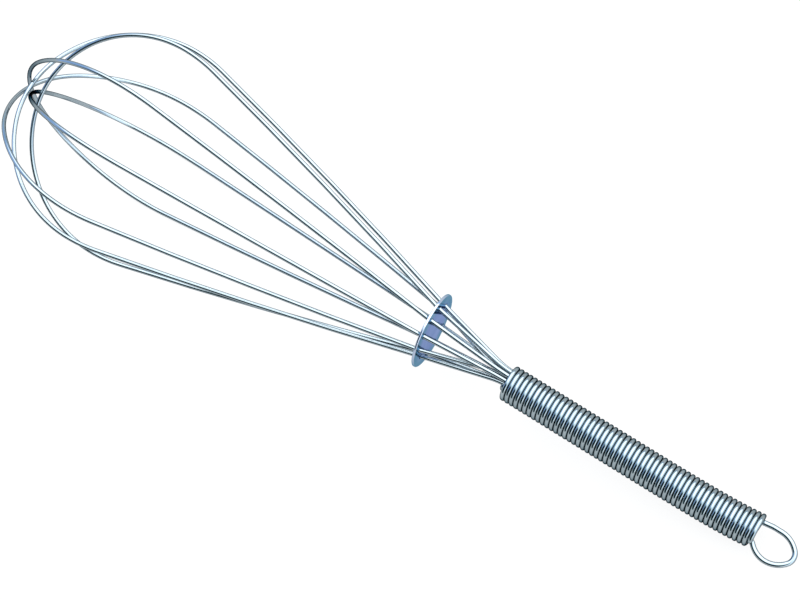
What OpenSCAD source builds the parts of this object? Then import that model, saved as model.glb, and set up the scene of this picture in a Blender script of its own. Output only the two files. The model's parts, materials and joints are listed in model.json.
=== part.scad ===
// Balloon whisk with a coiled wire grip, lying at rest on a flat surface.
// It is worked out along its own axis, which runs along X: the disc is at zero,
// the balloon on the minus side and the grip on the plus side.
// Turns about that axis start at straight up and grow from up towards minus Y.
// The whole whisk is then laid down on its two lowest wires and the end of its grip.

/* [Wires of the balloon] */
// Diameter of the sprung whisk wire
wire_d = 1.5; // [1.2:0.05:1.8]
// Widest radius of the balloon, to the middle of the wire
belly_r = 38.6; // [32:0.1:46]
// Distance from the disc to the outermost tip, to the middle of the wire
tip_x = 165.2; // [150:0.1:190]
// Length of the round end of the outermost loop, from its widest place to its tip
crown_h = 43.8; // [42:0.1:50]
// Part of the width that the tight bend at the tip has as its radius
tip_tightness = 0.88; // [0.8:0.01:0.92]
// Radius of the bend where a wire turns from the balloon's end into its long leg
shoulder_r = 50; // [30:1:70]
// Radius of the slight outward bow of the long legs
leg_bow_r = 2000; // [1200:50:4000]
// Room between one loop's tip and the next one inside it, past the wire itself
tip_gap = 0.2; // [0.1:0.05:1]

/* [Disc] */
// Diameter of the spreader disc
disc_d = 26.2; // [23:0.1:32]
// Thickness of the spreader disc
disc_t = 0.9; // [0.6:0.1:2]
// Radius that rounds the disc's rim
disc_edge_r = 0.3; // [0.1:0.05:0.3]
// Diameter of the circle that the ten holes lie on
hole_circle_d = 18.3; // [15:0.1:19]
// Room round a wire in its hole, on each side
hole_clearance = 0.3; // [0.3:0.05:0.4]
// How far the disc leans off square to the axis, in degrees
disc_lean = 5; // [0:0.5:6]
// Turn of the side of the disc that leans towards the grip
disc_lean_turn = 97; // [0:1:359]

/* [Grip] */
// Diameter over the coil
grip_d = 12.2; // [12:0.1:16]
// Thickness of the coiled wire
coil_wire_d = 1.25; // [1:0.05:1.4]
// Open gap between one turn of the coil and the next
coil_gap = 0.45; // [0.44:0.01:0.8]
// Number of turns in the coil
coil_turns = 54.94; // [30:0.02:80]
// Distance from the disc to the first turn of the coil
grip_x = 29.75; // [24:0.05:40]
// Room between the first end of the coil, which is tucked in, and the wires that it lies on
tuck_clearance = 0.15; // [0.1:0.05:2]
// How far along the grip that end is pushed
coil_push = 0.2; // [0:0.05:0.4]
// Turn at which the coil begins
coil_start_turn = 66; // [0:1:359]
// How far the coil sits off the axis of the wires that it binds
coil_off = 1.35; // [0:0.05:1.4]
// Turn towards which it sits off, square to the eye's flat
coil_off_turn = 97; // [0:1:359]
// Room between neighbouring whisk wires in the bundle
bundle_gap = 0.1; // [0.08:0.01:0.12]
// How far ahead of the coil the two middle wires join the bundle
middle_lead = 6; // [4:0.5:8]
// How far ahead of it the wires do on the side that the coil sits off on
near_lead = 1.5; // [1:0.1:4]
// How far ahead of it the wires do on the opposite side
far_lead = 3; // [1:0.1:4]
// Radius of the bend where a wire turns into the bundle
bundle_bend_r = 30; // [10:1:35]
// Room between the ends of the whisk wires and the legs of the hanging loop
wire_stop = 2; // [1:0.5:12]

/* [Hanging loop] */
// Diameter of the hanging loop's wire
eye_wire_d = 1.8; // [1.2:0.05:1.9]
// Widest distance across the eye, between the middles of the wire
eye_w = 10.6; // [9:0.1:14]
// How far the eye stands out past the coil, to the middle of the wire
eye_l = 14.2; // [13:0.1:20]
// How far the eye leans to one side of the grip's axis
eye_lean = 1.5; // [0:0.05:1.7]
// How far the two legs of the loop reach into the grip
eye_depth = 12; // [8:1:14]
// Room between a leg of the loop and the inside of the coil
eye_clearance = 0.4; // [0.25:0.05:0.6]

/* [Hidden] */

// The five loops from the outermost tip to the innermost. Each has the number of the first of its two
// holes, which lie opposite each other, and the wires' thicknesses that its tip is set back.
loops = 5;
LOOP_HOLE = [2, 0, 3, 1, 4];
LOOP_SETBACK = [0, 1, 2.3, 4, 5];
// How far each of the ten legs has sprung round from its hole at the widest place, in degrees, by hole
LEG_SPRING = [-6, -8, -7, -18, -25, -6, -10, -21, -9, -17];
// Turn of the first hole
first_hole_turn = -9.4;

legs = 2 * loops;
leg_step = 360 / legs;
hole_r = hole_circle_d / 2;
hole_d = wire_d + 2 * hole_clearance;
coil_pitch = coil_wire_d + coil_gap;
grip_l = coil_turns * coil_pitch;
grip_end = grip_x + grip_l;
wire_end = grip_end - eye_depth - wire_stop;
// Length of a wire on the balloon's side of its hole that is quite straight
hole_straight = 3;
// From one loop's tip to the next
tip_step = wire_d + tip_gap;
// A loop set back from the tip is shorter in its round end by this share of its setback, but never much
// less than the balloon's radius
crown_share = 0.7;
least_crown = 1.02 * belly_r;

// The coil's tube has six flat sides, two of them facing in and out
coil_sides = 6;
coil_rings = 8;
coil_flat_r = coil_wire_d / 2 * cos(180 / coil_sides);
coil_r = grip_d / 2 - coil_flat_r;
coil_inside_r = coil_r * cos(180 / coil_rings) - coil_flat_r;
// Part of a turn over which the coil leaves the wires that its first end lies on
coil_tuck_turns = 0.75;

// How much of the grip's length is on the straight before the coil comes back to the axis: a power
coil_return = 8;

// In the bundle two whisk wires lie in the middle and eight round them. The middle two come from
// this hole and the one opposite.
middle_number = 2;
bundle_half = (wire_d + bundle_gap) / 2;
ring_step = 360 / (legs - 2);
ring_along = bundle_half * cos(ring_step / 2);
ring_across = bundle_half * sin(ring_step / 2);
ring_r = ring_along + sqrt(pow(2 * bundle_half, 2) - pow(ring_across, 2));

// The hanging loop's legs lie against the inside of the coil
eye_leg_r = coil_inside_r - eye_clearance - eye_wire_d / 2;
eye_turn = coil_off_turn;

// The arcs and straight stretches of a wire stop this far short of each other, inside a ball that is
// a hair thicker than the wire
joint_gap = 0.05;
joint_swell = 0.03;
wire_fn = 16;
bend_step = 8;
bow_steps = 6;
slight_bend_r = 500;

// Direction square to the axis at a given turn
function out(turn) = [0, -sin(turn), cos(turn)];
function unit(v) = v / norm(v);
function mirrored(list) = [for (i = [len(list) - 1 : -1 : 0]) list[i]];

// A bend of radius r at a corner of a wire: its start, end, centre, first direction, outward direction,
// radius, turn, and the direction it leaves in
function bend(before, corner, after, r) =
    let (a = unit(corner - before))
    let (b = unit(after - corner))
    let (turn = acos(min(1, a * b)))
    let (reach = turn < 0.01 ? 0 : r * tan(turn / 2))
    let (inward = turn < 0.01 ? [0, 0, 0] : unit(b - (a * b) * a))
    let (start = corner - reach * a)
    [start, corner + reach * b, start + r * inward, a, -inward, r, turn, b];

function bends(corners, radii) =
    [for (i = [1 : len(corners) - 2]) bend(corners[i - 1], corners[i], corners[i + 1], radii[i - 1])];

// Points along the middle of a bent wire
bend_points = 12;
function along(corners, radii) =
    let (list = bends(corners, radii))
    concat([corners[0]],
        [for (k = list) for (i = [0 : bend_points])
            let (t = k[6] * i / bend_points)
            k[6] < 0.01 ? k[0] : k[2] + k[5] * (cos(t) * k[4] + sin(t) * k[3])],
        [corners[len(corners) - 1]]);

// Places a shape drawn about Z so that its X, Y and Z follow three directions from a point
module placed(x, y, z, at) {
    multmatrix([for (i = [0 : 2]) [x[i], y[i], z[i], at[i]]])
        children();
}

// Places a shape drawn about Z so that it runs along a direction from a point
module along_way(at, way) {
    x = unit(cross(way, abs(way[0]) > 0.7 ? [0, 0, 1] : [1, 0, 0]));
    placed(x, cross(way, x), way, at)
        children();
}

module straight_wire(from, to, d) {
    along_way(from, unit(to - from))
        cylinder(h = norm(to - from), d = d, $fn = wire_fn);
}

module curved_wire(k, d) {
    steps = max(ceil(k[6] / bend_step), k[5] > slight_bend_r ? bow_steps : 1);
    short = joint_gap / k[5] * 180 / PI;
    placed(k[4], k[3], cross(k[4], k[3]), k[2])
        rotate([0, 0, short])
            rotate_extrude(angle = k[6] - 2 * short, $fn = ceil(360 / k[6] * steps))
                translate([k[5], 0])
                    circle(d = d, $fn = wire_fn);
}

module wire_joint(at, way, d) {
    along_way(at, way)
        rotate([0, 0, 50])
            sphere(d = d + 2 * joint_swell, $fn = wire_fn);
}

// A round wire bent to its own radius at every corner between its two ends. No radius is a sharp corner.
module bent_wire(corners, radii, d) {
    list = bends(corners, radii);
    last = len(list) - 1;
    from = concat([corners[0]], [for (k = list) k[1]]);
    to = concat([for (k = list) k[0]], [corners[last + 2]]);
    union() {
        for (i = [0 : last]) {
            if (list[i][5] > 0)
                curved_wire(list[i], d);
            wire_joint(to[i], list[i][3], d);
        }
        for (i = [0 : last + 1])
            if (norm(to[i] - from[i]) > 4 * joint_gap) {
                way = unit(to[i] - from[i]);
                trims = [i > 0 ? joint_gap : 0, i > last ? 0 : joint_gap];
                straight_wire(from[i] + trims[0] * way, to[i] - trims[1] * way, d);
                if (i > 0 && list[i - 1][5] > 0)
                    wire_joint(from[i], way, d);
            }
    }
}

// The round end of a loop: half its width a, its length b, and the radius t of its tight tip.
// The side arc's radius follows from where the two arcs touch.
function side_r(a, b, t) = (a * a + b * b - 2 * b * t) / (2 * (a - t));
function side_turn(a, b, t) = atan2(b - t, side_r(a, b, t) - a);

// A leg leaves the widest place along the axis and comes in by w over a length l. It turns through the
// shoulder, then through the slight bow, and runs straight for s: both turns follow from the radii.
function shoulder_turn(l, w, s) =
    let (reach = [l, w - shoulder_r])
    let (k = leg_bow_r - shoulder_r)
    let (c = (reach * reach + k * k - leg_bow_r * leg_bow_r - s * s) / (2 * k))
    acos(c / norm(reach)) - atan2(reach[0], reach[1]);
function leg_turn(l, w, s) =
    let (first = shoulder_turn(l, w, s))
    let (k = leg_bow_r - shoulder_r)
    let (e = [l, w] - [0, shoulder_r] - k * [-sin(first), cos(first)])
    atan2(e[1], e[0]) - atan2(-leg_bow_r, s);

function hole_turn(i) = first_hole_turn + (i % legs) * leg_step;
// The disc's own directions: the one that leans towards the grip, and the one square to its face
lean_way = cos(disc_lean) * out(disc_lean_turn) + [sin(disc_lean), 0, 0];
face_way = [cos(disc_lean), 0, 0] - sin(disc_lean) * out(disc_lean_turn);
side_way = cross(face_way, lean_way);
function hole_at(i) =
    let (a = hole_turn(i) - disc_lean_turn)
    hole_r * (cos(a) * lean_way + sin(a) * side_way);
function leg_at(i) = belly_r * out(hole_turn(i) + LEG_SPRING[i % legs]);
// Place of a wire in the bundle, by its hole
function bundle_at(i) =
    let (j = (i + legs - middle_number) % loops)
    let (middle_turn = hole_turn(i - j))
    j == 0 ? bundle_half * out(middle_turn) : ring_r * out(middle_turn + ring_step * (j - 0.5));
// How far ahead of the coil it gets there. The middle two come first.
function lead_at(i) =
    let (j = (i + legs - middle_number) % loops)
    let (far = (1 - cos(hole_turn(i) - coil_off_turn)) / 2)
    j == 0 ? middle_lead : near_lead + far * (far_lead - near_lead);

function loop_tip(n) = -tip_x + LOOP_SETBACK[n] * tip_step;
function loop_crown(n) = max(crown_h - crown_share * (loop_tip(n) + tip_x), least_crown);
function loop_belly(n) = loop_tip(n) + loop_crown(n);

// Corners of one leg from its end in the grip to the widest place of its loop
function leg_corners(n, i) =
    let (belly = leg_at(i) + [loop_belly(n), 0, 0])
    let (hole = hole_at(i))
    let (across = [0, hole[1], hole[2]] - leg_at(i))
    let (in = unit(across))
    let (ax = [1, 0, 0])
    let (l = hole[0] - loop_belly(n))
    let (w = norm(across))
    let (first = shoulder_turn(l, w, hole_straight))
    let (whole = leg_turn(l, w, hole_straight))
    let (shoulder_end = shoulder_r * [sin(first), 1 - cos(first)])
    let (bow_corner = shoulder_end + leg_bow_r * tan((whole - first) / 2) * [cos(first), sin(first)])
    [[wire_end, 0, 0] + bundle_at(i),
     [grip_x - lead_at(i), 0, 0] + bundle_at(i),
     hole,
     belly + bow_corner[0] * ax + bow_corner[1] * in,
     belly + shoulder_r * tan(first / 2) * ax];

function loop_corners(n) =
    let (i = LOOP_HOLE[n])
    let (a_leg = leg_at(i))
    let (b_leg = leg_at(i + loops))
    let (mid = (a_leg + b_leg) / 2)
    let (half = norm(a_leg - b_leg) / 2)
    let (b = loop_crown(n))
    let (t = tip_tightness * half)
    let (turn = side_turn(half, b, t))
    let (reach = side_r(half, b, t) * tan(turn / 2))
    let (apex = b - t + t / sin(turn))
    concat(leg_corners(n, i),
        [a_leg + [loop_belly(n) - reach, 0, 0],
         mid + [loop_belly(n) - apex, 0, 0],
         b_leg + [loop_belly(n) - reach, 0, 0]],
        mirrored(leg_corners(n, i + loops)));

function loop_radii(n) =
    let (i = LOOP_HOLE[n])
    let (half = norm(leg_at(i) - leg_at(i + loops)) / 2)
    let (t = tip_tightness * half)
    let (leg = [bundle_bend_r, 0, leg_bow_r, shoulder_r])
    concat(leg, [side_r(half, loop_crown(n), t), t, side_r(half, loop_crown(n), t)], mirrored(leg));

// Middle of the coil beside the axis of the wires
function coil_axis(x) =
    let (share = min(max((x - grip_x) / grip_l, 0), 1))
    coil_off * (1 - pow(share, coil_return)) * out(coil_off_turn);

// The eye of the hanging loop: two legs that swell out to the eye's width and meet in a tight round end
// Distances are from the end of the coil: where a leg starts to swell out, where it has done so, and the
// widest place.
eye_neck_x = -0.1;
eye_swell_x = 3.7;
eye_widest_x = 6.7;
eye_tip_tightness = 0.65;
eye_tip_r = eye_tip_tightness * eye_w / 2;
eye_neck_r = 3;
eye_swell_r = 8;
function eye_point(x, side) = [grip_end + x, 0, 0] + side * out(eye_turn);
function eye_corners() =
    let (a = eye_w / 2)
    let (b = eye_l - eye_widest_x)
    let (turn = side_turn(a, b, eye_tip_r))
    let (reach = side_r(a, b, eye_tip_r) * tan(turn / 2))
    let (apex = b - eye_tip_r + eye_tip_r / sin(turn))
    let (inner = coil_axis(grip_end - eye_depth))
    [eye_point(-eye_depth, eye_leg_r) + inner,
     eye_point(eye_neck_x, eye_leg_r),
     eye_point(eye_swell_x, eye_lean + a),
     eye_point(eye_widest_x + reach, eye_lean + a),
     eye_point(eye_widest_x + apex, eye_lean),
     eye_point(eye_widest_x + reach, eye_lean - a),
     eye_point(eye_swell_x, eye_lean - a),
     eye_point(eye_neck_x, -eye_leg_r),
     eye_point(-eye_depth, -eye_leg_r) + inner];
function eye_radii() =
    let (side = side_r(eye_w / 2, eye_l - eye_widest_x, eye_tip_r))
    [eye_neck_r, eye_swell_r, side, eye_tip_r, side, eye_swell_r, eye_neck_r];

// The coil is a right-handed helix. Its first part of a turn leaves the bundle that its end lies on.
tucked_r = (ring_r + wire_d / 2 + tuck_clearance + coil_flat_r) / cos(180 / coil_rings);
function coil_tuck_share(t) = t >= coil_tuck_turns ? 0 : (1 + cos(180 * t / coil_tuck_turns)) / 2;
function coil_point(t) =
    let (share = coil_tuck_share(t))
    let (x = grip_x + coil_pitch * t + coil_push * share)
    let (r = tucked_r * share + coil_r * (1 - share))
    [x, 0, 0] + (1 - share) * coil_axis(x) + r * out(coil_start_turn + 360 * t);
function coil_way(t) = unit(coil_point(t + 0.01) - coil_point(t - 0.01));
coil_steps = round(coil_turns * coil_rings);
function coil_t(i) = coil_turns * i / coil_steps;
// Middle points of the coil's tube, with a straight piece of one thickness at each end
coil_line = concat([coil_point(0) - coil_wire_d * coil_way(0)],
    [for (i = [0 : coil_steps]) coil_point(coil_t(i))],
    [coil_point(coil_turns) + coil_wire_d * coil_way(coil_turns)]);
function coil_ring(at, t) =
    let (way = coil_way(t))
    let (up = unit(out(coil_start_turn + 360 * t) - (out(coil_start_turn + 360 * t) * way) * way))
    let (side = cross(way, up))
    [for (j = [0 : coil_sides - 1])
        let (a = 360 * (j + 0.5) / coil_sides)
        at + coil_wire_d / 2 * (cos(a) * up + sin(a) * side)];
coil_count = len(coil_line);
coil_points = [for (i = [0 : coil_count - 1])
    for (p = coil_ring(coil_line[i], coil_t(min(max(i - 1, 0), coil_steps)))) p];
coil_faces = concat(
    [for (j = [1 : coil_sides - 2]) [0, j, j + 1]],
    [for (i = [0 : coil_count - 2]) for (j = [0 : coil_sides - 1])
        let (a = i * coil_sides + j)
        let (b = i * coil_sides + (j + 1) % coil_sides)
        for (f = [[a, a + coil_sides, b], [b, a + coil_sides, b + coil_sides]]) f],
    [for (j = [1 : coil_sides - 2])
        let (e = (coil_count - 1) * coil_sides)
        [e, e + j + 1, e + j]]);
// The least gap between one turn and the next, measured on the tube's middle points
coil_least_gap = min([for (i = [0 : coil_count - 1 - coil_rings / 2])
    for (j = [i + coil_rings / 2 : min(i + 2 * coil_rings, coil_count - 1)])
        norm(coil_line[i] - coil_line[j]) - coil_wire_d]);
echo(coil_least_gap = coil_least_gap);

// The whisk lies tilted: its lowest wires and the end of its grip are at one height
wire_points = [for (n = [0 : loops - 1]) for (p = along(loop_corners(n), loop_radii(n))) p];
eye_points = along(eye_corners(), eye_radii());
last_turn = [for (i = [coil_count - coil_rings - 2 : coil_count - 1]) coil_line[i]];
function height(p, tilt) = -p[0] * sin(tilt) + p[2] * cos(tilt);
function balloon_low(tilt) = min([for (p = wire_points) height(p, tilt)]) - wire_d / 2;
function grip_low(tilt) = min(min([for (p = eye_points) height(p, tilt)]) - eye_wire_d / 2,
    min([for (p = last_turn) height(p, tilt)]) - coil_wire_d / 2);
function resting_tilt(low, high, halvings) =
    let (mid = (low + high) / 2)
    let (more = balloon_low(mid) < grip_low(mid))
    halvings == 0 ? mid : resting_tilt(more ? mid : low, more ? high : mid, halvings - 1);
steepest_tilt = 30;
tilt_halvings = 30;
tilt = resting_tilt(0, steepest_tilt, tilt_halvings);
function laid(p) = [p[0] * cos(tilt) + p[2] * sin(tilt), p[1], height(p, tilt)];
laid_wires = [for (p = wire_points) laid(p)];
laid_eye = [for (p = eye_points) laid(p)];
low_x = min([for (p = laid_wires) p[0]]) - wire_d / 2;
high_x = max([for (p = laid_eye) p[0]]) + eye_wire_d / 2;
low_y = min([for (p = laid_wires) p[1]]) - wire_d / 2;
high_y = max([for (p = laid_wires) p[1]]) + wire_d / 2;
origin = [(low_x + high_x) / 2, (low_y + high_y) / 2, balloon_low(tilt)];
echo(tilt = tilt, origin = origin, length = high_x - low_x, width = high_y - low_y);

// Lays the whisk down with the middle of its outline over the origin
module laid_down() {
    translate(-origin)
        rotate([0, tilt, 0])
            children();
}

// One of the five balloon wires, with both its ends in the grip
module wire_loop(n) {
    color("lightsteelblue")
        laid_down()
            bent_wire(loop_corners(n), loop_radii(n), wire_d);
}

// The flat disc that the ten wires pass through
module spreader_disc() {
    color("steelblue")
        laid_down()
            placed(lean_way, side_way, face_way, [0, 0, 0])
                difference() {
                    rotate_extrude($fn = 72)
                        disc_profile();
                    for (i = [0 : legs - 1])
                        rotate([0, 0, hole_turn(i) - disc_lean_turn])
                            translate([hole_r, 0, -disc_t])
                                cylinder(h = 2 * disc_t, d = hole_d, $fn = 32);
                }
}

// Half the disc's section, with its rim rounded above and below
module disc_profile() {
    flat = disc_d / 2 - disc_edge_r;
    translate([0, -disc_t / 2])
        square([flat, disc_t]);
    translate([flat - disc_edge_r, disc_edge_r - disc_t / 2])
        square([2 * disc_edge_r, disc_t - 2 * disc_edge_r]);
    for (side = [-1, 1])
        translate([flat, side * (disc_t / 2 - disc_edge_r)])
            circle(r = disc_edge_r, $fn = 16);
}

// The close coil that binds the ten wires and is held in the hand
module grip_coil() {
    color("slategray")
        laid_down()
            polyhedron(points = coil_points, faces = coil_faces, convexity = 10);
}

// The eye at the end of the grip, with its two legs inside the coil
module hanging_loop() {
    color("silver")
        laid_down()
            bent_wire(eye_corners(), eye_radii(), eye_wire_d);
}

wire_loop(0);  // wire_loop_1
wire_loop(1);  // wire_loop_2
wire_loop(2);  // wire_loop_3
wire_loop(3);  // wire_loop_4
wire_loop(4);  // wire_loop_5
spreader_disc();
grip_coil();
hanging_loop();
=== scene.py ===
import json
import math

import bpy
import numpy as np
from mathutils import Matrix

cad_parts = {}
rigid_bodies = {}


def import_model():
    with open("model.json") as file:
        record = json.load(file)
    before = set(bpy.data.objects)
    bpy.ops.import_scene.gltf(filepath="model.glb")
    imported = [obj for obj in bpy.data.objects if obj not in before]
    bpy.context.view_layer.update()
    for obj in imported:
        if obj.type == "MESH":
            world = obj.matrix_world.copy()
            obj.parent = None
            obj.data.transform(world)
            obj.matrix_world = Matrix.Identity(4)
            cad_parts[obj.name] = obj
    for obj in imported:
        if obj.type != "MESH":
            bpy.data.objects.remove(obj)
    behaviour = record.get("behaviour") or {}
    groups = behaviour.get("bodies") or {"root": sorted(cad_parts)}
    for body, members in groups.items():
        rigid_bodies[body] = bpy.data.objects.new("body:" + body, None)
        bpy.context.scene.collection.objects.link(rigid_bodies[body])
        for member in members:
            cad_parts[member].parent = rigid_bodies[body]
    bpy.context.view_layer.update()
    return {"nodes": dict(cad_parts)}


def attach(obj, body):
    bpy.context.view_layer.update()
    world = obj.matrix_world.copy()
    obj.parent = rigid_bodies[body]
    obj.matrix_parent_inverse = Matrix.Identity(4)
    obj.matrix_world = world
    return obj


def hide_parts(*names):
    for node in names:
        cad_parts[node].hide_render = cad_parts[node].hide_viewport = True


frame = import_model()

# The balloon: five loops of round stainless spring wire, 1.5 mm thick, drawn bright and polished.
# Each is one wire whose two legs pass through opposite holes of the disc and end side by side in
# the grip. The whisk lies at rest, so its axis dips from the balloon to the end of the grip.
axis_dip = math.radians(7.55878)
disc_middle = np.array([0.0140299, -0.000258687, 0.0222092])
whisk_x = np.array([1.0, 0.0, 0.0])

wire_thickness = 0.0015
belly_radius = 0.0386
tip_distance = 0.1652
crown_length = 0.0438
# An inner loop's round end is shorter by this share of what its tip is set back, down to a least.
crown_share = 0.7
least_crown_share = 1.02
least_crown = least_crown_share * belly_radius
tip_tightness = 0.88
tip_gap = 0.0002
tip_step = wire_thickness + tip_gap
shoulder_radius = 0.050
bow_radius = 2.0
hole_straight = 0.003
hole_circle_radius = 0.00915
hole_bend_radius = 0.004

# The loops from the outermost tip inwards: the number of the first of a loop's two holes, and how
# many tip steps it is set back. Then, by hole, the degrees that each leg has sprung round at the
# widest place.
loop_first_hole = [2, 0, 3, 1, 4]
loop_setback = [0, 1, 2.3, 4, 5]
leg_spring = [-6, -8, -7, -18, -25, -6, -10, -21, -9, -17]
first_hole_turn = -9.4
leg_count = 10
loop_count = 5

disc_lean = math.radians(5)
grip_side_turn = 97

coil_pitch = 0.0017
coil_turns = 54.94
grip_start = 0.02975
grip_length = coil_turns * coil_pitch
grip_end = grip_start + grip_length
eye_depth = 0.012
wire_stop = 0.002
wire_end = grip_end - eye_depth - wire_stop

# In the grip two legs lie in the middle, the first of them from this hole, and eight round them.
middle_legs = 2
bundle_middle = 2
bundle_gap = 0.0001
bundle_half = (wire_thickness + bundle_gap) / 2
bundle_step = 360 / (leg_count - middle_legs)
half_step = math.radians(bundle_step / 2)
bundle_ring = bundle_half * math.cos(half_step) + math.sqrt(
    (2 * bundle_half) ** 2 - (bundle_half * math.sin(half_step)) ** 2)
middle_lead, near_lead, far_lead = 0.006, 0.0015, 0.003
bundle_bend_radius = 0.030


def outward(turn):
    """Direction square to the whisk's axis: up at zero degrees and growing towards minus Y."""
    a = np.radians(turn)
    return np.stack([0 * a, -np.sin(a), np.cos(a)], axis=-1)


def unit(v):
    """A vector, or each row of an array of vectors, divided by its length."""
    return v / np.linalg.norm(v, axis=-1, keepdims=True)


def laid_down(p):
    """Points or directions given along the whisk's own axis, turned about Y by its dip."""
    c, s = math.cos(axis_dip), math.sin(axis_dip)
    x, y, z = np.moveaxis(np.asarray(p, float), -1, 0)
    return np.stack([x * c + z * s, y, z * c - x * s], axis=-1)


def bent_line(corners, radii):
    """Middle line of a wire: straight runs joined by arcs. An arc of radius r that turns the wire
    by t begins r tan(t/2) before its corner, and its points, some 2.5 degrees apart, are
    centre + r (cos a outward + sin a forward). Points of an arc that lie less than 0.1 mm ahead
    of the end of the one before are left out."""
    degrees_apart, least_pieces, least_turn, least_ahead = 2.5, 4, 0.0001, 0.0001
    runs = [corners[0][None]]
    for before, corner, after, r in zip(corners, corners[1:], corners[2:], radii):
        forward, leaving = unit(corner - before), unit(after - corner)
        turn = math.acos(min(1.0, float(forward @ leaving)))
        if turn < least_turn:
            continue
        inward = unit(leaving - (forward @ leaving) * forward)
        centre = corner - r * math.tan(turn / 2) * forward + r * inward
        pieces = max(int(math.degrees(turn) / degrees_apart), least_pieces)
        a = np.linspace(0, turn, pieces + 1)[:, None]
        arc = centre + r * (np.sin(a) * forward - np.cos(a) * inward)
        runs.append(arc[(arc - runs[-1][-1]) @ forward > least_ahead])
    return np.vstack(runs + [corners[-1][None]])


def round_wire(name, line, facing, radius, sides=24):
    """Closed tube along a line: each point is line + radius (cos a side + sin a across), where
    side is the facing direction made square to the line. Both ends close in a small chamfer, a
    quarter of the radius, and a point. The attribute wire_place holds each point's place on a
    straightened wire: across, across, length along."""
    line = np.asarray(line, float)
    radius = np.broadcast_to(np.asarray(radius, float), len(line))
    way = unit(np.gradient(line, axis=0))
    way[0], way[-1] = unit(line[1] - line[0]), unit(line[-1] - line[-2])
    chamfer = 0.25
    first = line[0] + chamfer * radius[0] * way[0]
    last = line[-1] - chamfer * radius[-1] * way[-1]
    line = np.vstack([line[:1], first, line[1:-1], last, line[-1:]])
    way = np.vstack([way[:1], way, way[-1:]])
    facing = np.broadcast_to(facing, (len(line) - 2, 3))
    facing = np.vstack([facing[:1], facing, facing[-1:]])
    radius = np.concatenate([radius[:1] * (1 - chamfer), radius, radius[-1:] * (1 - chamfer)])
    side = unit(facing - np.sum(facing * way, axis=1, keepdims=True) * way)
    across = np.cross(way, side)
    length = np.concatenate([[0], np.cumsum(np.linalg.norm(np.diff(line, axis=0), axis=1))])

    a = 2 * math.pi * np.arange(sides) / sides
    c, s = np.cos(a)[None, :, None], np.sin(a)[None, :, None]
    r = radius[:, None, None]
    rings = line[:, None] + r * (c * side[:, None] + s * across[:, None])
    every = 0 * rings[..., :1]
    place = np.concatenate([r * c + every, r * s + every, length[:, None, None] + every], axis=2)
    points = np.vstack([rings.reshape(-1, 3), line[:1], line[-1:]])
    points = laid_down(points) + disc_middle
    places = np.vstack([place.reshape(-1, 3), [[0, 0, 0]], [[0, 0, length[-1]]]])

    i, j = np.meshgrid(np.arange(len(line) - 1), np.arange(sides), indexing="ij")
    k = (j + 1) % sides
    quads = np.stack([i * sides + j, i * sides + k, (i + 1) * sides + k, (i + 1) * sides + j],
                     axis=-1)
    j, k = j[0], k[0]
    last_ring = (len(line) - 1) * sides
    first_tip = len(line) * sides
    start = np.stack([0 * j + first_tip, k, j], axis=-1)
    finish = np.stack([last_ring + j, last_ring + k, 0 * j + first_tip + 1], axis=-1)
    faces = quads.reshape(-1, 4).tolist() + start.tolist() + finish.tolist()

    mesh = bpy.data.meshes.new(name)
    mesh.from_pydata(points.tolist(), [], faces)
    mesh.polygons.foreach_set("use_smooth", np.ones(len(mesh.polygons), bool))
    attribute = mesh.attributes.new("wire_place", "FLOAT_VECTOR", "POINT")
    attribute.data.foreach_set("vector", places.ravel())
    mesh.update()
    piece = bpy.data.objects.new(name, mesh)
    bpy.context.scene.collection.objects.link(piece)
    return piece


def hole_turn(hole):
    """Turn of a hole round the axis in degrees. Holes are numbered on past ten."""
    return first_hole_turn + (hole % leg_count) * 360 / leg_count


def hole_place(hole):
    """Middle of a hole: on its circle in the plane of the disc, which leans on one side."""
    a = math.radians(hole_turn(hole) - grip_side_turn)
    leaning = math.cos(disc_lean) * outward(grip_side_turn) + math.sin(disc_lean) * whisk_x
    return hole_circle_radius * (math.cos(a) * leaning
                                 + math.sin(a) * outward(grip_side_turn + 90))


def bundle_place(hole):
    """Where the leg of a hole lies among the ten in the grip: two in the middle, eight round
    them."""
    number = (hole + leg_count - bundle_middle) % loop_count
    turn = hole_turn(hole - number)
    if number == 0:
        return bundle_half * outward(turn)
    return bundle_ring * outward(turn + bundle_step * (number - 0.5))


def bundle_ahead(hole):
    """How far before the grip a leg joins the bundle. The middle two and those on the far side
    come first."""
    if (hole + leg_count - bundle_middle) % loop_count == 0:
        return middle_lead
    far = (1 - math.cos(math.radians(hole_turn(hole) - grip_side_turn))) / 2
    return near_lead + far * (far_lead - near_lead)


def belly_place(hole):
    """Where the leg of a hole is at the widest place, beside the axis."""
    return belly_radius * outward(hole_turn(hole) + leg_spring[hole % leg_count])


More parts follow.
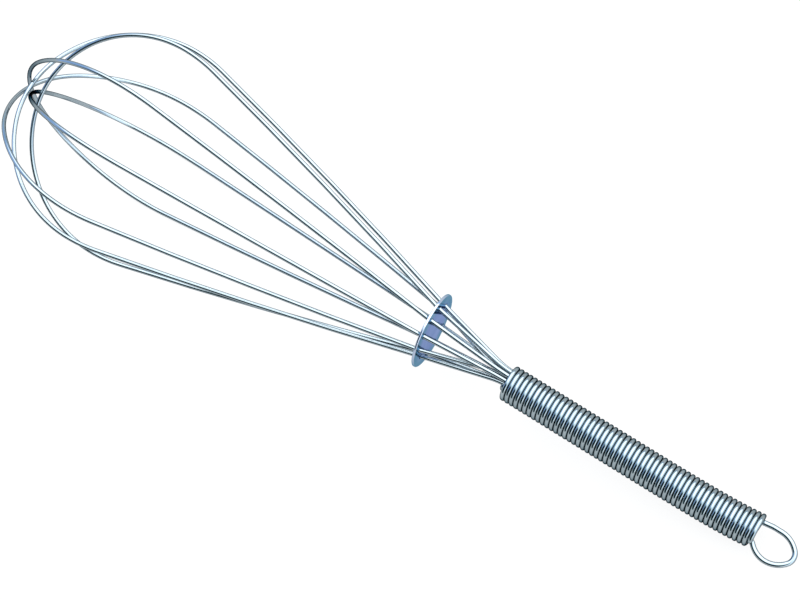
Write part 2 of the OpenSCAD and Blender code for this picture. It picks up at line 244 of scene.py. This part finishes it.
def leg_corners(hole, belly_x):
    """Corners from the wire's end in the grip to the widest place. The leg turns in through the
    shoulder and then the slight bow, both arcs bent the same way, so their middles are the
    difference of their radii apart. Both turns follow from that, the leg's length and how far it
    comes in, because the straight at the hole touches the bow."""
    belly = belly_place(hole)
    place = hole_place(hole)
    across = (place - belly) * [0, 1, 1]
    inward = unit(across)
    reach = place[0] - belly_x
    past = np.linalg.norm(across) - shoulder_radius
    apart = bow_radius - shoulder_radius
    side = (reach ** 2 + past ** 2 + apart ** 2 - bow_radius ** 2 - hole_straight ** 2) / 2 / apart
    first = math.acos(side / math.hypot(reach, past)) - math.atan2(reach, past)
    hole_x = reach + apart * math.sin(first)
    hole_y = past - apart * math.cos(first)
    whole = math.atan2(hole_y, hole_x) - math.atan2(-bow_radius, hole_straight)
    bow = bow_radius * math.tan((whole - first) / 2)
    bow_x = shoulder_radius * math.sin(first) + bow * math.cos(first)
    bow_y = shoulder_radius * (1 - math.cos(first)) + bow * math.sin(first)
    return [wire_end * whisk_x + bundle_place(hole),
            (grip_start - bundle_ahead(hole)) * whisk_x + bundle_place(hole),
            place,
            belly + (belly_x + bow_x) * whisk_x + bow_y * inward,
            belly + (belly_x + shoulder_radius * math.tan(first / 2)) * whisk_x]


def round_end(half, length, tight):
    """Radius and turn of the side arcs of a round end of given half width and length, whose tip
    is an arc of the tight radius."""
    side = (half ** 2 + length ** 2 - 2 * length * tight) / (2 * (half - tight))
    return side, math.atan2(length - tight, side - half)


for number in range(loop_count):
    hole = loop_first_hole[number]
    tip_x = -tip_distance + loop_setback[number] * tip_step
    crown = max(crown_length - crown_share * (tip_x + tip_distance), least_crown)
    belly_x = tip_x + crown
    leg_a, leg_b = belly_place(hole), belly_place(hole + loop_count)
    half = np.linalg.norm(leg_a - leg_b) / 2
    tight = tip_tightness * half
    side, turn = round_end(half, crown, tight)
    reach = side * math.tan(turn / 2)
    apex = crown - tight + tight / math.sin(turn)
    crown_corners = [leg_a + (belly_x - reach) * whisk_x,
                     (leg_a + leg_b) / 2 + (belly_x - apex) * whisk_x,
                     leg_b + (belly_x - reach) * whisk_x]
    leg_radii = [bundle_bend_radius, hole_bend_radius, bow_radius, shoulder_radius]
    line = bent_line(
        leg_corners(hole, belly_x) + crown_corners + leg_corners(hole + loop_count, belly_x)[::-1],
        leg_radii + [side, tight, side] + leg_radii[::-1])
    wire = round_wire(f"balloon_wire_{number + 1}", line, unit(np.cross(whisk_x, leg_a - leg_b)),
                      wire_thickness / 2)
    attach(wire, "root")
    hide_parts(f"wire_loop_{number + 1}")


def linear(code):
    """An sRGB hex colour as linear red, green, blue and 1: a value up to 0.04045 is divided by
    12.92, and a greater one has 0.055 added, is divided by 1.055 and taken to the power 2.4."""
    c = np.array([int(code[i:i + 2], 16) for i in (1, 3, 5)]) / 255
    return (*np.where(c <= 0.04045, c / 12.92, ((c + 0.055) / 1.055) ** 2.4), 1.0)


def add(tree, kind, inputs=None, **settings):
    """Adds one node: settings are its own properties, and inputs its sockets, each a value or an
    output to link."""
    made = tree.nodes.new(kind)
    for key, value in settings.items():
        setattr(made, key, value)
    for key, value in (inputs or {}).items():
        if isinstance(value, bpy.types.NodeSocket):
            tree.links.new(value, made.inputs[key])
        else:
            made.inputs[key].default_value = value
    return made


def empty_tree(block):
    """Node tree of a material or world, with no nodes in it."""
    block.use_nodes = True
    block.node_tree.nodes.clear()
    return block.node_tree


# Nearly all of a noise lies between these two values.
noise_low, noise_high = 0.3, 0.7


def spread(tree, noise, low=0.0, high=1.0):
    """A noise stretched so that its own range fills the one from low to high."""
    return add(tree, "ShaderNodeMapRange", {
        "Value": noise.outputs["Fac"], "From Min": noise_low, "From Max": noise_high,
        "To Min": low, "To Max": high}).outputs[0]


def drawn_steel(name, light, dark, painted_dark_edge_reflection, gloss, dull):
    """Stainless wire drawn through a die: bright metal with faint lines along it and slow changes
    of tone. The lines are noise in wire_place, some 0.1 mm wide and 5 mm long, and the patches
    of tone are some 8 mm long. Light and dark are the metal's two tones. The colour at a slant is
    a painted reflection that draws dark lines along the wire's edges. Gloss and dull are the
    least and the most roughness."""
    lines_a_metre, patches_a_metre = (9000, 9000, 200), 120.0
    line_strength, line_depth = 0.06, 0.00002
    material = bpy.data.materials.new(name)
    tree = empty_tree(material)
    place = add(tree, "ShaderNodeAttribute", attribute_name="wire_place").outputs["Vector"]
    stretched = add(tree, "ShaderNodeMapping", {"Vector": place, "Scale": lines_a_metre})
    lines = add(tree, "ShaderNodeTexNoise", {
        "Vector": stretched.outputs[0], "Scale": 1.0, "Detail": 3.0})
    patches = add(tree, "ShaderNodeTexNoise", {
        "Vector": place, "Scale": patches_a_metre, "Detail": 2.0})
    both = add(tree, "ShaderNodeMath", {0: spread(tree, patches), 1: spread(tree, lines)},
               operation="ADD")
    tone = add(tree, "ShaderNodeMath", {0: both.outputs[0], 1: 0.5}, operation="MULTIPLY")
    colour = add(tree, "ShaderNodeMix", {
        "Factor": tone.outputs[0], "A": linear(dark), "B": linear(light)}, data_type="RGBA")
    rough = add(tree, "ShaderNodeMapRange", {
        "Value": tone.outputs[0], "To Min": dull, "To Max": gloss})
    bump = add(tree, "ShaderNodeBump", {
        "Height": lines.outputs["Fac"], "Strength": line_strength, "Distance": line_depth})
    # The dark colour at a slant is painted reflection: it draws dark lines along the wire's edges.
    metal = add(tree, "ShaderNodeBsdfPrincipled", {
        "Base Color": colour.outputs["Result"], "Metallic": 1.0, "Roughness": rough.outputs[0],
        "Specular Tint": linear(painted_dark_edge_reflection), "Normal": bump.outputs[0]})
    add(tree, "ShaderNodeOutputMaterial", {"Surface": metal.outputs[0]})
    return material


# Bright drawn stainless spring wire, for the loops and the eye. Its dark teal colour at a slant is
# painted reflection, dark lines along the wire's edges.
spring_wire = drawn_steel("drawn_stainless_spring_wire", "#a8b4ba", "#8e9ca4", "#1c2830",
                          gloss=0.05, dull=0.09)
for number in range(loop_count):
    bpy.data.objects[f"balloon_wire_{number + 1}"].data.materials.append(spring_wire)

# The spreader disc: a plate of stainless sheet, 0.9 mm thick, punched out with its ten holes,
# tumbled and polished. It keeps the ten legs apart, and the wires' own spring holds it in place.
disc = frame["nodes"]["spreader_disc"]


def polished_sheet(name, light, dark, painted_slant_reflections, gloss, dull):
    """Polished stainless sheet: fine scratches of the polishing wheel in one direction, in Object
    coordinates, and slow patches of tone. Scratches are drawn 0.1 to 0.2 mm wide so that they
    show. The colours at a slant are painted reflection, one in the middle of the disc and one at
    its rim, with a smooth change between them."""
    scratches_a_metre, patches_a_metre = (6000, 6000, 300), 160.0
    scratch_strength, scratch_depth = 0.2, 0.00003
    middle_radius, rim_radius = 0.007, 0.0125
    material = bpy.data.materials.new(name)
    tree = empty_tree(material)
    place = add(tree, "ShaderNodeTexCoord").outputs["Object"]
    stretched = add(tree, "ShaderNodeMapping", {"Vector": place, "Scale": scratches_a_metre})
    scratches = add(tree, "ShaderNodeTexNoise", {
        "Vector": stretched.outputs[0], "Scale": 1.0, "Detail": 4.0})
    patches = add(tree, "ShaderNodeTexNoise", {
        "Vector": place, "Scale": patches_a_metre, "Detail": 2.0})
    colour = add(tree, "ShaderNodeMix", {
        "Factor": spread(tree, patches), "A": linear(dark), "B": linear(light)}, data_type="RGBA")
    out = add(tree, "ShaderNodeVectorMath", {0: place, 1: tuple(disc_middle)},
              operation="DISTANCE")
    # Painted reflection: the colour at a slant turns from the middle's to the rim's with the
    # distance from the disc's middle.
    painted_reflection_rim_share = add(tree, "ShaderNodeMapRange", {
        "Value": out.outputs["Value"], "From Min": middle_radius, "From Max": rim_radius},
        interpolation_type="SMOOTHSTEP")
    painted_slant_reflection = add(tree, "ShaderNodeMix", {
        "Factor": painted_reflection_rim_share.outputs[0], "A": linear(painted_slant_reflections[0]), "B": linear(painted_slant_reflections[1])}, data_type="RGBA")
    bump = add(tree, "ShaderNodeBump", {
        "Height": scratches.outputs["Fac"], "Strength": scratch_strength,
        "Distance": scratch_depth})
    metal = add(tree, "ShaderNodeBsdfPrincipled", {
        "Base Color": colour.outputs["Result"], "Metallic": 1.0,
        "Roughness": spread(tree, scratches, gloss, dull),
        "Specular Tint": painted_slant_reflection.outputs["Result"], "Normal": bump.outputs[0]})
    add(tree, "ShaderNodeOutputMaterial", {"Surface": metal.outputs[0]})
    return material


# Polished stainless sheet. Where it mirrors the room at a slant it is painted bluish, a painted
# reflection that is lavender-blue in the middle and teal at the rim.
disc.data.materials.clear()
disc.data.materials.append(polished_sheet(
    "polished_stainless_sheet", "#c4cede", "#a8b4c8", ("#98a8d2", "#7ca4b6"),
    gloss=0.03, dull=0.08))

# The hanging loop: a short length of stainless wire, 1.8 mm thick, bent to a pear-shaped eye. Its
# two legs are pushed into the end of the grip, where the coil grips them.
eye_wire_thickness = 0.0018
eye_width = 0.0106
eye_length = 0.0142
eye_lean = 0.0015
# Past the end of the coil: where a leg starts to swell out, where it has, and the widest place.
eye_neck, eye_swell, eye_widest = -0.0001, 0.0037, 0.0067
eye_neck_radius, eye_swell_radius = 0.003, 0.008
eye_tightness = 0.65
eye_tight = eye_tightness * eye_width / 2

grip_radius = 0.0061
coil_offset = 0.00135
coil_return = 8
# The legs keep clear of the coil as the solids have it: thinner wire, with six sides and eight
# rings a turn.
solid_coil_wire = 0.00125
solid_coil_sides, solid_coil_rings = 6, 8
solid_coil_flat = solid_coil_wire / 2 * math.cos(math.pi / solid_coil_sides)
solid_coil_radius = grip_radius - solid_coil_flat
eye_clearance = 0.0004
eye_leg_place = (solid_coil_radius * math.cos(math.pi / solid_coil_rings) - solid_coil_flat
                 - eye_clearance - eye_wire_thickness / 2)


def coil_middle(x):
    """Middle of the coil beside the wires' axis: the offset times one less the eighth power of
    the share of the grip's length."""
    share = np.clip((np.asarray(x, float) - grip_start) / grip_length, 0, 1)
    return (coil_offset * (1 - share ** coil_return))[..., None] * outward(grip_side_turn)


def eye_place(x, across):
    """A point in the eye's plane: so far past the end of the coil, and so far across."""
    return (grip_end + x) * whisk_x + across * outward(grip_side_turn)


side, turn = round_end(eye_width / 2, eye_length - eye_widest, eye_tight)
reach = side * math.tan(turn / 2)
apex = eye_length - eye_widest - eye_tight + eye_tight / math.sin(turn)
inside = coil_middle(grip_end - eye_depth)
half = eye_width / 2
line = bent_line(
    [eye_place(-eye_depth, eye_leg_place) + inside, eye_place(eye_neck, eye_leg_place),
     eye_place(eye_swell, eye_lean + half), eye_place(eye_widest + reach, eye_lean + half),
     eye_place(eye_widest + apex, eye_lean), eye_place(eye_widest + reach, eye_lean - half),
     eye_place(eye_swell, eye_lean - half), eye_place(eye_neck, -eye_leg_place),
     eye_place(-eye_depth, -eye_leg_place) + inside],
    [eye_neck_radius, eye_swell_radius, side, eye_tight, side, eye_swell_radius, eye_neck_radius])
eye = round_wire("hanging_eye", line, outward(grip_side_turn + 90), eye_wire_thickness / 2)
eye.data.materials.append(spring_wire)
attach(eye, "root")
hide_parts("hanging_loop")

# The grip: one stainless wire wound close round the ends of the ten legs, 55 turns that touch
# each other. The first end is cut to a point and tucked in against the legs.
coil_start_turn = 66
coil_wire = 0.00166
coil_radius = grip_radius - coil_wire / 2
tuck_room = 0.0001
tucked_radius = bundle_ring + wire_thickness / 2 + tuck_room + coil_wire / 2
coil_push = 0.0002
coil_tuck_turns = 0.75
# Parts of a turn that the two ends reach past the solid's middle line, the part over which the
# first end grows from its point, and the share of the radius that it starts with.
first_past, last_past = 0.05, 0.04
point_turns, point_share = 0.06, 0.25
steps_a_turn = 40
coil_sides = 20


def coil_line(t):
    """Helix: x grows by the pitch each turn. In the first part of a turn it passes from a circle
    round the bundle of legs to the coil's own, by half of one plus the cosine of its share of
    that part."""
    part = np.clip(t / coil_tuck_turns, -1, 1)
    share = np.where(t < coil_tuck_turns, (1 + np.cos(math.pi * part)) / 2, 0)
    x = grip_start + coil_pitch * t + coil_push * share
    radial = outward(coil_start_turn + 360 * t)
    reach = tucked_radius * share + coil_radius * (1 - share)
    return x[:, None] * whisk_x + (1 - share)[:, None] * coil_middle(x) + reach[:, None] * radial


t = np.linspace(-first_past, coil_turns + last_past, round(coil_turns * steps_a_turn) + 1)
grown = np.sqrt(np.clip((t - t[0]) / point_turns, 0, 1))
coil = round_wire("grip_coil_wire", coil_line(t), outward(coil_start_turn + 360 * t),
                  coil_wire / 2 * (point_share + (1 - point_share) * grown), coil_sides)
# Bright drawn stainless wire, a little duller than the loops' from being handled. Its dark teal
# colour at a slant is painted reflection, dark lines along the wire's edges.
coil.data.materials.append(drawn_steel(
    "drawn_stainless_coil_wire", "#a2aeb3", "#8a989e", "#1c3038", gloss=0.06, dull=0.1))
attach(coil, "root")
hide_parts("grip_coil")

# The place it lies in: a table covered with white matt paper, large enough to fill the view. What
# the camera and the metal see of it is nearly all plain white, and the rest keeps the shadow.
floor_size = 3.0
white_part = 0.9
ground = bpy.data.meshes.new("pale_table")
corner = floor_size / 2
ground.from_pydata(
    [(-corner, -corner, 0), (corner, -corner, 0), (corner, corner, 0), (-corner, corner, 0)],
    [], [(0, 1, 2, 3)])
table = bpy.data.objects.new("pale_table", ground)
bpy.context.scene.collection.objects.link(table)
# White uncoated paper.
paper = bpy.data.materials.new("white_table_paper")
tree = empty_tree(paper)
ray = add(tree, "ShaderNodeLightPath").outputs
seen = add(tree, "ShaderNodeMath", {0: ray["Is Camera Ray"], 1: ray["Is Glossy Ray"]},
           operation="MAXIMUM")
seen = add(tree, "ShaderNodeMath", {0: seen.outputs[0], 1: ray["Is Transmission Ray"]},
           operation="MAXIMUM")
whiteness = add(tree, "ShaderNodeMath", {0: seen.outputs[0], 1: white_part}, operation="MULTIPLY")
lit = add(tree, "ShaderNodeBsdfDiffuse", {"Color": linear("#f4f4f4")})
white = add(tree, "ShaderNodeEmission", {"Color": (1, 1, 1, 1), "Strength": 1.0})
both = add(tree, "ShaderNodeMixShader", {
    0: whiteness.outputs[0], 1: lit.outputs[0], 2: white.outputs[0]})
add(tree, "ShaderNodeOutputMaterial", {"Surface": both.outputs[0]})
ground.materials.append(paper)

# The camera looks down at the whisk from the side of the handle's end, 0.92 m from the disc,
# through a long lens. It leans towards the handle by the rise, stands a little to the near side,
# and is rolled so that the whisk lies from the upper left to the lower right.
rise = math.radians(13.178)
view_turn = 7.2
roll = math.radians(31.6186)
distance = 0.9194
shift_right, shift_down = 0.0104, 0.00995
toward = laid_down(math.sin(rise) * whisk_x + math.cos(rise) * outward(view_turn))
along = laid_down(math.cos(rise) * whisk_x - math.sin(rise) * outward(view_turn))
across = laid_down(outward(view_turn + 90))
right = along * math.cos(roll) - across * math.sin(roll)
down = along * math.sin(roll) + across * math.cos(roll)
camera_place = disc_middle + distance * toward - shift_right * right - shift_down * down
lens = bpy.data.cameras.new("camera")
lens.sensor_width = 36
lens.lens = 127.3
lens.clip_start, lens.clip_end = 0.01, 20
camera = bpy.data.objects.new("camera", lens)
camera.matrix_world = Matrix(
    np.stack([right, -down, toward, camera_place], axis=1).tolist() + [[0, 0, 0, 1]])
bpy.context.scene.collection.objects.link(camera)
bpy.context.scene.camera = camera

# The room round it, as a studio tent: a wide white panel above the far side, black card next to
# it to draw dark lines in the metal, and grey beyond. Towards the handle it grows pale and then
# blue, and towards the balloon's tip blue.
white_level = 3.2
world = bpy.data.worlds.new("studio_room")
tree = empty_tree(world)
way = add(tree, "ShaderNodeTexCoord").outputs["Generated"]


def facing(direction):
    """Cosine between a way into the room and a direction."""
    return add(tree, "ShaderNodeVectorMath", {0: way, 1: tuple(direction)},
               operation="DOT_PRODUCT").outputs["Value"]


def smooth(value, start, stop):
    """Smooth step from 0 to 1 as a value goes from start to stop."""
    return add(tree, "ShaderNodeMapRange", {"Value": value, "From Min": start, "From Max": stop},
               interpolation_type="SMOOTHSTEP").outputs[0]


def mixed(share, one, other):
    """One colour turning into another as a share goes from 0 to 1."""
    return add(tree, "ShaderNodeMix", {"Factor": share, "A": one, "B": other},
               data_type="RGBA").outputs["Result"]


# Panels round the whisk: each stop is an angle in degrees from straight over it towards the near
# side, and the colour there.
angle = add(tree, "ShaderNodeMath", {0: facing(across), 1: facing(toward)}, operation="ARCTAN2")
share = add(tree, "ShaderNodeMapRange", {
    "Value": angle.outputs[0], "From Min": -math.pi, "From Max": math.pi})
panels = add(tree, "ShaderNodeValToRGB", {"Fac": share.outputs[0]})
stops = [(-110, "#93a3ab"), (-94, "#7088a0"), (-88, "#7088a0"), (-80, "#ffffff"),
         (-8, "#ffffff"), (8, "#b4c2c6"), (19, "#2a3a3e"), (28, "#101c1e"), (68, "#101c1e"),
         (82, "#34484e"), (110, "#5a7078")]
for place, (degrees, code) in enumerate(stops):
    where = degrees / 360 + 0.5
    ramp = panels.color_ramp.elements
    stop = ramp[place] if place < 2 else ramp.new(where)
    stop.position, stop.color = where, linear(code)
colour = panels.outputs["Color"]
for side, start, stop, code in ((-along, 0.74, 0.96, "#7d94b8"), (along, 0.26, 0.5, "#dfe6ec"),
                                (along, 0.62, 0.88, "#6480a4")):
    colour = mixed(smooth(facing(side), start, stop), colour, linear(code))
# Low down, all round the table, stands a white backdrop. It ends this high, as sines of the rise.
backdrop_low, backdrop_high = 0.08, 0.12
backdrop = (1 / white_level, 1 / white_level, 1 / white_level, 1)
colour = mixed(smooth(facing((0, 0, 1)), backdrop_low, backdrop_high), backdrop, colour)
sky = add(tree, "ShaderNodeBackground", {"Color": colour, "Strength": white_level})
add(tree, "ShaderNodeOutputWorld", {"Surface": sky.outputs[0]})
bpy.context.scene.world = world
bpy.context.scene.view_settings.view_transform = "Standard"

bpy.context.view_layer.update()
